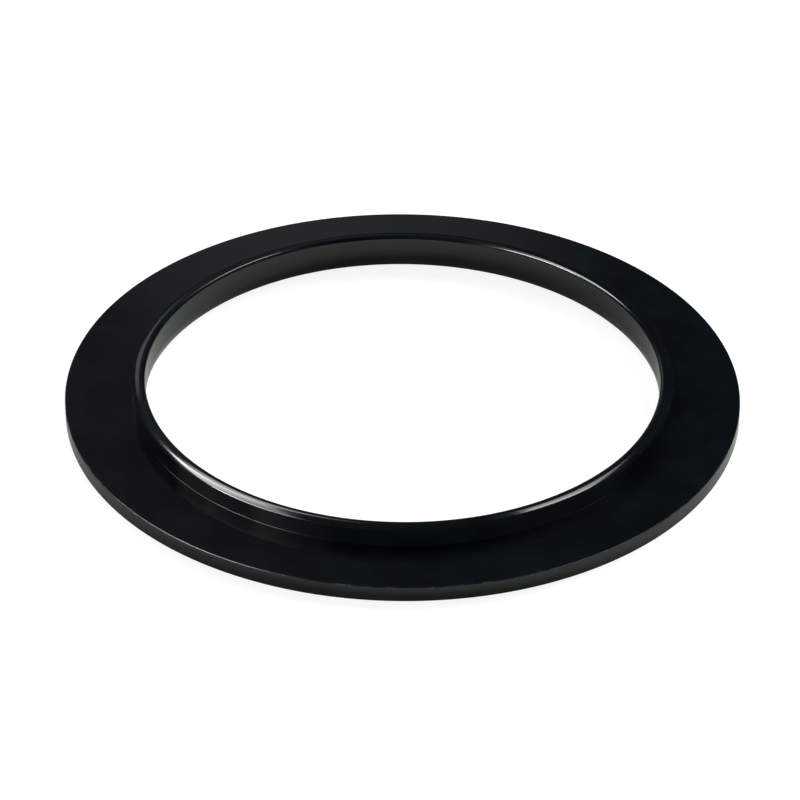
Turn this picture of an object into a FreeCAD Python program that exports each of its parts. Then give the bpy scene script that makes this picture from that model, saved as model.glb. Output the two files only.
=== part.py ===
import FreeCAD, Part
import os
from math import atan, cos, radians, sin, tan

# Seal ring of a toilet flange for a 4 in closet outlet, moulded in one piece of black EPDM rubber.
# A flat flange lies on the floor fitting round the waste opening, and a raised lip stands round its
# bore and takes the foot of the toilet. The ring is one closed section turned about the bore's axis,
# as the mould's halves and its core pin are turned on a lathe. Its two edges on the underside, where
# the mould parts, and the outer edge of the shoulder are crisp. Every other corner is rounded.
# Millimetres, +Z up along the bore. The origin is the centre of the bore on the underside.

# Driving sizes
RIM_DIAMETER = 133.4  # outside of the flange, 5 1/4 in
BORE_DIAMETER = 101.6  # the straight throat through the lip, 4 in
FLANGE_THICKNESS = 3.1
LIP_RISE = 4.0  # from the flat top of the flange to the crest of the lip
LIP_WALL = 2.6  # radial width of the lip, from the throat to its outer wall

# The shoulder, a crowned stretch that leaves the crest level and falls to the lip's outer edge
SHOULDER_WIDTH = 1.65
SHOULDER_SLOPE = 37.0  # degrees below level that the crown has reached at the edge

# The bell mouth, where the bore widens through the flange so that it slips over the outlet
MOUTH_FLARE = 0.7  # how much wider in radius the bore is at the underside than at the throat
MOUTH_HEIGHT = 2.7  # how far up the bore the flare reaches

# Roundings of the section's corners
RIM_ROUND = 0.8
LIP_ROOT_FILLET = 0.2
CREST_ROUND = 0.6

SAME_PLACE = 1e-6  # arcs whose ends lie this close meet with no straight between them


def at(radius, height):
    """A place on the section, which lies in the XZ plane."""
    return FreeCAD.Vector(radius, 0, height)


def rounded_outline(corners):
    """A closed wire through the corners, each (radius, height, rounding), joined by tangent arcs.

    A rounding of 0 leaves its corner crisp. Two roundings that want more than the side between them
    are both cut down to share it.
    """
    places = [at(radius, height) for radius, height, _ in corners]
    count = len(places)
    to_last = [places[i - 1] - places[i] for i in range(count)]
    to_next = [places[(i + 1) % count] - places[i] for i in range(count)]
    halves = [back.getAngle(ahead) / 2 for back, ahead in zip(to_last, to_next)]
    reaches = [corner[2] / tan(half) for corner, half in zip(corners, halves)]
    shares = []
    for i in range(count):
        wanted = reaches[i] + reaches[(i + 1) % count]
        room = to_next[i].Length
        shares.append(room / wanted if wanted > room else 1.0)
    starts, middles, ends = [], [], []
    for i, place in enumerate(places):
        share = min(shares[i - 1], shares[i])
        back = FreeCAD.Vector(to_last[i]).normalize()
        ahead = FreeCAD.Vector(to_next[i]).normalize()
        inward = (back + ahead).normalize()
        rounding = share * corners[i][2]
        starts.append(place + back * share * reaches[i])
        middles.append(place + inward * (rounding / sin(halves[i]) - rounding))
        ends.append(place + ahead * share * reaches[i])
    edges = []
    for i in range(count):
        following = starts[(i + 1) % count]
        if corners[i][2] > 0:
            edges.append(Part.Arc(starts[i], middles[i], ends[i]).toShape())
        if (following - ends[i]).Length > SAME_PLACE:
            edges.append(Part.LineSegment(ends[i], following).toShape())
    return Part.Wire(edges)


def crown(width, slope):
    """The arc of the shoulder: its radius, its fall, and the width before its tangents meet."""
    radius = width / sin(slope)
    return radius, radius * (1 - cos(slope)), radius * tan(slope / 2)


def bell(flare, height):
    """The arc of the mouth: its radius, and how far below its top its tangents meet."""
    turn = 2 * atan(flare / height)
    radius = height / sin(turn)
    return radius, radius * tan(turn / 2)


def seal_ring():
    """The ring: flange, root of the lip, crowned shoulder, crest, throat and bell mouth."""
    rim = RIM_DIAMETER / 2
    throat = BORE_DIAMETER / 2
    lip_outside = throat + LIP_WALL
    crest = FLANGE_THICKNESS + LIP_RISE
    crown_radius, crown_fall, crown_reach = crown(SHOULDER_WIDTH, radians(SHOULDER_SLOPE))
    bell_radius, bell_reach = bell(MOUTH_FLARE, MOUTH_HEIGHT)
    section = rounded_outline(
        [
            (throat + MOUTH_FLARE, 0, 0),
            (rim, 0, 0),
            (rim, FLANGE_THICKNESS, RIM_ROUND),
            (lip_outside, FLANGE_THICKNESS, LIP_ROOT_FILLET),
            (lip_outside, crest - crown_fall, 0),
            (lip_outside - SHOULDER_WIDTH + crown_reach, crest, crown_radius),
            (throat, crest, CREST_ROUND),
            (throat, MOUTH_HEIGHT - bell_reach, bell_radius),
        ]
    )
    return Part.Face(section).revolve(at(0, 0), FreeCAD.Vector(0, 0, 1), 360)


os.makedirs("parts", exist_ok=True)
seal_ring().exportStep("parts/seal_ring.step")
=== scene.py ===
from math import cos, pi, radians, sin, tan

import bmesh
import bpy
from mathutils import Euler, Matrix, Vector


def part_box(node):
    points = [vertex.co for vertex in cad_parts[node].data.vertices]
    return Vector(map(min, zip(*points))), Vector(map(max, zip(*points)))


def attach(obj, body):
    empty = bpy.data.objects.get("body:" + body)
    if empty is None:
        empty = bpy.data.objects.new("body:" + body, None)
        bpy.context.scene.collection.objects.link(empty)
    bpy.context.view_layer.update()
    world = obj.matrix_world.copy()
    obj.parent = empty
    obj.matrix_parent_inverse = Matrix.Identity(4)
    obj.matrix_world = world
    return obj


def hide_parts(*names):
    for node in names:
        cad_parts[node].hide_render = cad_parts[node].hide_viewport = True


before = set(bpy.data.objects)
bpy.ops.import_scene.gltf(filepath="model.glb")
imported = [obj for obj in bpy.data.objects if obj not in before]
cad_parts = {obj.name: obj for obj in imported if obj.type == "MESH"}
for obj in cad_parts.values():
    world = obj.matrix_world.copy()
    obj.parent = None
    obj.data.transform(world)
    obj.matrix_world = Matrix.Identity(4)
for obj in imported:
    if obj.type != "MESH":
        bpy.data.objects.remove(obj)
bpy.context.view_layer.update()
scene = bpy.context.scene
MM = 0.001


# ---------------------------------------------------------------- seal ring
# The ring that seals a toilet flange to the toilet's foot: a flat flange with a raised lip round
# its bore. It is moulded in one piece of black EPDM rubber between two turned mould halves and a
# core pin, so its section is the same all the way round.

ring_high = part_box("seal_ring")[1]
RIM = ring_high.x  # outside of the flange
CREST = ring_high.z  # top of the lip
THROAT = 50.8 * MM  # the straight bore through the lip
FLANGE = 3.1 * MM  # thickness of the flange
LIP_WALL = 2.6 * MM
SHOULDER = 1.65 * MM  # width of the crowned shoulder
SHOULDER_SLOPE = radians(37)  # how steep the crown is where it ends
MOUTH_FLARE = 0.7 * MM
MOUTH_HEIGHT = 2.7 * MM
RIM_ROUND = 0.15 * MM
ROOT_FILLET = 0.06 * MM
CREST_ROUND = 0.7 * MM
SHOULDER_EDGE = 0.03 * MM  # how far rubber leaves the shoulder's crisp outer edge unfilled
MOULD_EDGE = 0.08 * MM  # the same where the mould parts and where the core pin meets it
RING_STEPS = 360
SAME_PLACE = 0.001 * MM


def moulded_ring():
    """The section drawn corner by corner, its corners rounded, and then turned round the bore."""
    crown_radius = SHOULDER / sin(SHOULDER_SLOPE)
    crown_fall = crown_radius * (1 - cos(SHOULDER_SLOPE))
    crown_reach = crown_radius * tan(SHOULDER_SLOPE / 2)
    mouth_reach = MOUTH_HEIGHT / 2
    lip_outside = THROAT + LIP_WALL
    section = bmesh.new()
    corners = [
        (section.verts.new((radius, 0, height)), rounding, segments)
        for radius, height, rounding, segments in (
            (THROAT + MOUTH_FLARE, 0, MOULD_EDGE, 4),
            (RIM, 0, MOULD_EDGE, 4),
            (RIM, FLANGE, RIM_ROUND, 10),
            (lip_outside, FLANGE, ROOT_FILLET, 10),
            (lip_outside, CREST - crown_fall, SHOULDER_EDGE, 4),
            (lip_outside - SHOULDER + crown_reach, CREST, crown_reach - SHOULDER_EDGE, 12),
            (THROAT, CREST, CREST_ROUND, 8),
            (THROAT, mouth_reach, mouth_reach - MOULD_EDGE, 10),
        )
    ]
    section.faces.new([corner for corner, _, _ in corners])
    for corner, rounding, segments in corners:
        bmesh.ops.bevel(
            section, geom=[corner], affect="VERTICES", offset=rounding, offset_type="OFFSET",
            segments=segments, profile=0.5, material=-1,
        )
    bmesh.ops.delete(section, geom=section.faces[:], context="FACES_ONLY")
    bmesh.ops.spin(
        section, geom=section.verts[:] + section.edges[:], cent=(0, 0, 0), axis=(0, 0, 1),
        angle=2 * pi, steps=RING_STEPS, use_merge=True,
    )
    bmesh.ops.remove_doubles(section, verts=section.verts[:], dist=SAME_PLACE)
    bmesh.ops.recalc_face_normals(section, faces=section.faces[:])
    for face in section.faces:
        face.smooth = True
    mesh = bpy.data.meshes.new("moulded_ring")
    section.to_mesh(mesh)
    section.free()
    piece = bpy.data.objects.new("moulded_ring", mesh)
    scene.collection.objects.link(piece)
    held = piece.modifiers.new("flats stay flat", "WEIGHTED_NORMAL")
    held.mode = "FACE_AREA"
    held.weight = 100
    return piece


def paint(hex_colour):
    """An sRGB colour as the linear one that a shader takes."""
    shares = [int(hex_colour[i:i + 2], 16) / 255 for i in (1, 3, 5)]
    linear = [s / 12.92 if s <= 0.04045 else ((s + 0.055) / 1.055) ** 2.4 for s in shares]
    return (*linear, 1)


def add(nodes, kind, inputs=None, **settings):
    """A node with its settings, and its inputs given a value or linked to another's output."""
    node = nodes.new(kind)
    for name, value in settings.items():
        setattr(node, name, value)
    for place, value in (inputs or {}).items():
        if isinstance(value, bpy.types.NodeSocket):
            nodes.id_data.links.new(value, node.inputs[place])
        else:
            node.inputs[place].default_value = value
    return node


CARBON_BLACK = paint("#070c0f")  # the rubber's own black, a little blue
WAX_BLOOM = paint("#0a1217")  # where wax has come to the surface
RUBBED_EDGE = paint("#1b2123")  # greyer, where hands and shelves rub
BLOOM_SIZE = 11 * MM
RUB_SIZE = 3 * MM
GRAIN_SIZE = 0.5 * MM  # a polished mould leaves a finer grain, which would not show
TURNED_PITCH = 0.35 * MM  # and finer circles
RELIEF = 0.003 * MM


def epdm_rubber():
    """Black EPDM rubber as it leaves a polished mould: a deep, slightly blue black with a wet gloss.

    The tone drifts softly where wax has bloomed to the surface, fine circles remain from the turned
    mould, a fine grain breaks the gloss up, and the rim's rubbed top edge is greyer and duller.
    """
    material = bpy.data.materials.new("EPDM rubber, moulded satin")
    material.use_nodes = True
    nodes = material.node_tree.nodes
    links = material.node_tree.links
    shader = nodes["Principled BSDF"]
    shader.inputs["IOR"].default_value = 1.5
    place = add(nodes, "ShaderNodeTexCoord").outputs["Object"]
    axes = add(nodes, "ShaderNodeSeparateXYZ", {0: place}).outputs
    level = add(nodes, "ShaderNodeCombineXYZ", {"X": axes["X"], "Y": axes["Y"]})
    radius = add(nodes, "ShaderNodeVectorMath", {0: level.outputs[0]}, operation="LENGTH")
    radius = radius.outputs["Value"]

    bloom = add(nodes, "ShaderNodeTexNoise",
                {"Vector": place, "Scale": 1 / BLOOM_SIZE, "Detail": 4.0, "Roughness": 0.6})
    grain = add(nodes, "ShaderNodeTexNoise",
                {"Vector": place, "Scale": 1 / GRAIN_SIZE, "Detail": 3.0})
    turned = add(nodes, "ShaderNodeTexNoise",
                 {"W": radius, "Scale": 1 / TURNED_PITCH, "Detail": 2.0}, noise_dimensions="1D")

    near_rim = add(nodes, "ShaderNodeMapRange",
                   {0: radius, 1: RIM - 0.35 * MM, 2: RIM, 3: 0.0, 4: 1.0})
    near_top = add(nodes, "ShaderNodeMapRange",
                   {0: axes["Z"], 1: FLANGE - 0.7 * MM, 2: FLANGE - 0.1 * MM, 3: 0.0, 4: 1.0})
    rim_edge = add(nodes, "ShaderNodeMath",
                   {0: near_rim.outputs[0], 1: near_top.outputs[0]}, operation="MULTIPLY")
    rubs = add(nodes, "ShaderNodeTexNoise",
               {"Vector": place, "Scale": 1 / RUB_SIZE, "Detail": 5.0, "Roughness": 0.65})
    patches = add(nodes, "ShaderNodeMapRange",
                  {0: rubs.outputs["Fac"], 1: 0.42, 2: 0.62, 3: 0.0, 4: 1.0})
    wear = add(nodes, "ShaderNodeMath",
               {0: rim_edge.outputs[0], 1: patches.outputs[0]}, operation="MULTIPLY")

    tone = add(nodes, "ShaderNodeValToRGB", {"Fac": bloom.outputs["Fac"]})
    plain, bloomed = tone.color_ramp.elements
    plain.position, plain.color = 0.36, CARBON_BLACK
    bloomed.position, bloomed.color = 0.68, WAX_BLOOM
    colour = add(nodes, "ShaderNodeMix",
                 {"Factor": wear.outputs[0], "A": tone.outputs["Color"], "B": RUBBED_EDGE},
                 data_type="RGBA")
    links.new(colour.outputs["Result"], shader.inputs["Base Color"])

    soft = add(nodes, "ShaderNodeMapRange",
               {0: bloom.outputs["Fac"], 1: 0.35, 2: 0.7, 3: 0.08, 4: 0.12})
    fine = add(nodes, "ShaderNodeMath",
               {0: grain.outputs["Fac"], 1: 0.03, 2: soft.outputs[0]}, operation="MULTIPLY_ADD")
    dull = add(nodes, "ShaderNodeMath",
               {0: wear.outputs[0], 1: 0.3, 2: fine.outputs[0]}, operation="MULTIPLY_ADD")
    links.new(dull.outputs[0], shader.inputs["Roughness"])

    relief = add(nodes, "ShaderNodeMath",
                 {0: turned.outputs["Fac"], 1: 0.5, 2: grain.outputs["Fac"]},
                 operation="MULTIPLY_ADD")
    bump = add(nodes, "ShaderNodeBump",
               {"Height": relief.outputs[0], "Strength": 0.5, "Distance": RELIEF})
    links.new(bump.outputs["Normal"], shader.inputs["Normal"])
    return material


ring = moulded_ring()
ring.data.materials.append(epdm_rubber())
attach(ring, "root")
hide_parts("seal_ring")


# ---------------------------------------------------------------- paper
# A sheet of white paper that the ring lies on. It is plain white to the eye. To the rubber, a pool
# of light is painted on the paper under and before the ring, and beyond it painted shade makes it
# nearly black.

PAPER_REACH = 6.0
PAPER_DROP = 0.02 * MM  # keeps the paper out of the plane of the ring's underside
# tones and reaches of a pool of light painted on the paper, with painted shade beyond it, as the
# rubber sees them
PAINTED_LIGHT_TONE = 0.72
PAINTED_DARK_TONE = 0.01
PAINTED_LIGHT_CENTRE = (0, -0.06, 0)
PAINTED_LIGHT_REACH = 0.117  # from the painted light's centre, where the painted light starts to fade into painted shade
PAINTED_DARK_REACH = 0.132
SEEN_TONE = 0.3  # seen straight, the sheet takes this share of light and shadow
SEEN_GLOW = 0.84  # and glows by this much, so that it comes out white
PAPER_TINT = (0.93, 1.0, 0.91)  # slightly green in the gloss of the bore's wall


def studio_paper():
    mesh = bpy.data.meshes.new("studio_paper")
    sheet = bmesh.new()
    bmesh.ops.create_circle(
        sheet, cap_ends=True, segments=96, radius=PAPER_REACH,
        matrix=Matrix.Translation((0, 0, -PAPER_DROP)),
    )
    sheet.to_mesh(mesh)
    sheet.free()
    floor = bpy.data.objects.new("studio_paper", mesh)
    scene.collection.objects.link(floor)
    material = bpy.data.materials.new("white studio paper")
    material.use_nodes = True
    nodes = material.node_tree.nodes
    nodes.remove(nodes["Principled BSDF"])
    path = add(nodes, "ShaderNodeLightPath").outputs
    seen = add(nodes, "ShaderNodeMath",
               {0: path["Is Camera Ray"], 1: path["Is Transmission Ray"]}, operation="MAXIMUM")
    place = add(nodes, "ShaderNodeNewGeometry").outputs["Position"]
    # a pool of light painted into the paper's colour round a centre before the ring, fading to
    # painted shade beyond
    away = add(nodes, "ShaderNodeVectorMath", {0: place, 1: PAINTED_LIGHT_CENTRE}, operation="DISTANCE")
    lit = add(nodes, "ShaderNodeMapRange", {
        0: away.outputs["Value"], 1: PAINTED_LIGHT_REACH, 2: PAINTED_DARK_REACH, 3: PAINTED_LIGHT_TONE, 4: PAINTED_DARK_TONE,
    })
    tone = add(nodes, "ShaderNodeMix",
               {"Factor": seen.outputs[0], "A": lit.outputs[0], "B": SEEN_TONE}, data_type="FLOAT")
    tinted = add(nodes, "ShaderNodeVectorMath",
                 {0: PAPER_TINT, "Scale": tone.outputs[0]}, operation="SCALE")
    paper = add(nodes, "ShaderNodeBsdfDiffuse", {"Color": tinted.outputs[0]})
    glow = add(nodes, "ShaderNodeMath", {0: seen.outputs[0], 1: SEEN_GLOW}, operation="MULTIPLY")
    shine = add(nodes, "ShaderNodeEmission", {"Color": (1, 1, 1, 1), "Strength": glow.outputs[0]})
    both = add(nodes, "ShaderNodeAddShader", {0: paper.outputs[0], 1: shine.outputs[0]})
    nodes.id_data.links.new(both.outputs[0], nodes["Material Output"].inputs["Surface"])
    mesh.materials.append(material)
    return floor


studio_paper()


# ---------------------------------------------------------------- studio
# A dark room round the table, with a pale patch of wall low behind the ring, which the flat of the
# flange mirrors. The dull colour of the rubber and the paper get a plain even light from it.

ROOM_TONE = 0.015
LEFT_TONE = 0.05  # the room is a little lighter to the left
WALL_PATCH = 0.2
EVEN_LIGHT = 0.28


def heading(azimuth, elevation):
    """The direction from the ring towards an azimuth and elevation in radians."""
    across, up = cos(elevation), sin(elevation)
    return Vector((cos(azimuth) * across, sin(azimuth) * across, up))


def studio_room():
    world = bpy.data.worlds.new("studio")
    scene.world = world
    world.use_nodes = True
    nodes = world.node_tree.nodes
    background = nodes["Background"]
    direction = add(nodes, "ShaderNodeTexCoord").outputs["Generated"]
    patch_centre = tuple(heading(radians(91.0), radians(30.2)))
    near = add(nodes, "ShaderNodeVectorMath", {0: direction, 1: patch_centre},
               operation="DOT_PRODUCT")
    patch = add(nodes, "ShaderNodeMapRange", {
        0: near.outputs["Value"], 1: cos(radians(4.2)), 2: cos(radians(0.8)), 3: 0.0, 4: 1.0,
    }, interpolation_type="SMOOTHSTEP")
    side = add(nodes, "ShaderNodeSeparateXYZ", {0: direction}).outputs["X"]
    dim = add(nodes, "ShaderNodeMapRange",
              {0: side, 1: -0.04, 2: 0.0, 3: LEFT_TONE, 4: ROOM_TONE})
    room = add(nodes, "ShaderNodeMath",
               {0: patch.outputs[0], 1: WALL_PATCH, 2: dim.outputs[0]}, operation="MULTIPLY_ADD")
    path = add(nodes, "ShaderNodeLightPath").outputs
    lit = add(nodes, "ShaderNodeMix",
              {"Factor": path["Is Diffuse Ray"], "A": room.outputs[0], "B": EVEN_LIGHT},
              data_type="FLOAT")
    seen = add(nodes, "ShaderNodeMath",
               {0: path["Is Camera Ray"], 1: path["Is Transmission Ray"]}, operation="MAXIMUM")
    white = add(nodes, "ShaderNodeMath",
                {0: lit.outputs[0], 1: seen.outputs[0]}, operation="MAXIMUM")
    background.inputs["Color"].default_value = (1, 1, 1, 1)
    nodes.id_data.links.new(white.outputs[0], background.inputs["Strength"])


studio_room()


# ---------------------------------------------------------------- lamps
# Softboxes of two kinds. The rubber's bright bands are mirror images of softboxes that shed no
# light, and its dull colour and the paper are lit by softboxes that are not mirrored, so that
# either can be set without changing the other.

LAMP_DISTANCE = 1.5


def softbox(name, azimuth, elevation, turn, sides, radiance, fall=(0, 0), mirrored=True):
    """A flat light that faces the ring, dimmer or brighter by e ** fall for each unit along a side.

    Angles are in degrees. Sides are measured with the lamp's distance from the ring as the unit.
    """
    azimuth, elevation, turn = radians(azimuth), radians(elevation), radians(turn)
    lamp = bpy.data.lights.new(name, "AREA")
    lamp.shape = "RECTANGLE"
    lamp.size, lamp.size_y = sides[0] * LAMP_DISTANCE, sides[1] * LAMP_DISTANCE
    lamp.energy = radiance * lamp.size * lamp.size_y * pi
    lamp.use_nodes = True
    nodes = lamp.node_tree.nodes
    place = add(nodes, "ShaderNodeNewGeometry").outputs["Parametric"]
    slope = (fall[0] * sides[0], fall[1] * sides[1], 0)
    along = add(nodes, "ShaderNodeVectorMath", {0: place, 1: slope}, operation="DOT_PRODUCT")
    centred = add(nodes, "ShaderNodeMath",
                  {0: along.outputs["Value"], 1: (slope[0] + slope[1]) / 2}, operation="SUBTRACT")
    glow = add(nodes, "ShaderNodeMath", {0: centred.outputs[0]}, operation="EXPONENT")
    nodes.id_data.links.new(glow.outputs[0], nodes["Emission"].inputs["Strength"])
    holder = bpy.data.objects.new(name, lamp)
    holder.visible_glossy = mirrored
    holder.visible_diffuse = not mirrored
    away = heading(azimuth, elevation)
    level = Vector((-sin(azimuth), cos(azimuth), 0))
    upright = away.cross(level)
    width = level * cos(turn) + upright * sin(turn)
    height = upright * cos(turn) - level * sin(turn)
    turned = Matrix((width, height, away)).transposed()
    holder.matrix_world = Matrix.Translation(away * LAMP_DISTANCE) @ turned.to_4x4()
    scene.collection.objects.link(holder)


# the broad band on the shoulder at the front left
softbox("key softbox", 193, 53.2, -25.4, (1.74, 0.425), 3.4, fall=(-1.9, -1.9))
softbox("key tail", 109, 51.5, 20, (0.24, 0.2), 3.6)  # its inner edge, towards the crest
# faint, for the lip's inner round at the front left and its wall below that
softbox("key strip", 175.8, 39.5, -38, (2.36, 0.348), 0.6, fall=(-1.43, 0.06))
softbox("crest strip", 194, 47.5, 20, (0.48, 0.16), 42.0)  # the thin line on the far crest
softbox("fill softbox", 52, 56.5, -29, (0.4, 0.24), 6.0, fall=(-3.8, 1.2))  # band, front right
softbox("side panel", 111, 25, -16, (0.27, 0.24), 0.6)  # faint, for the shoulder at the far left
# faint, for the lip's wall at the front left and the front right
softbox("left wing", 190, 33, 0, (0.9, 0.2), 0.5)
softbox("right wing", 343, 33, 0, (1.1, 0.2), 0.35)
# from here on, light for the dull colour and for the paper
softbox("back light", 48, 34, 0, (0.6, 0.6), 9.6, mirrored=False)
softbox("left back light", 122, 34, 0, (0.6, 0.6), 5.0, mirrored=False)
softbox("front light", 270, 6, 0, (1.6, 0.2), 7.0, mirrored=False)


# ---------------------------------------------------------------- camera
CAMERA_ELEVATION = radians(33.72)
CAMERA_DISTANCE = 12.40 * RIM
CAMERA_ROLL = radians(0.4135)
camera_data = bpy.data.cameras.new("camera")
camera_data.lens = 187.6
camera_data.sensor_width = 36
camera_data.shift_x = -0.00313
camera_data.shift_y = 0.00166
camera_data.clip_start = 0.01
camera = bpy.data.objects.new("camera", camera_data)
camera.location = (
    0, -CAMERA_DISTANCE * cos(CAMERA_ELEVATION), CAMERA_DISTANCE * sin(CAMERA_ELEVATION),
)
tilted = Euler((pi / 2 - CAMERA_ELEVATION, 0, 0)).to_matrix()
camera.rotation_euler = (tilted @ Matrix.Rotation(CAMERA_ROLL, 3, "Z")).to_euler()
scene.collection.objects.link(camera)
scene.camera = camera

scene.view_settings.view_transform = "Standard"
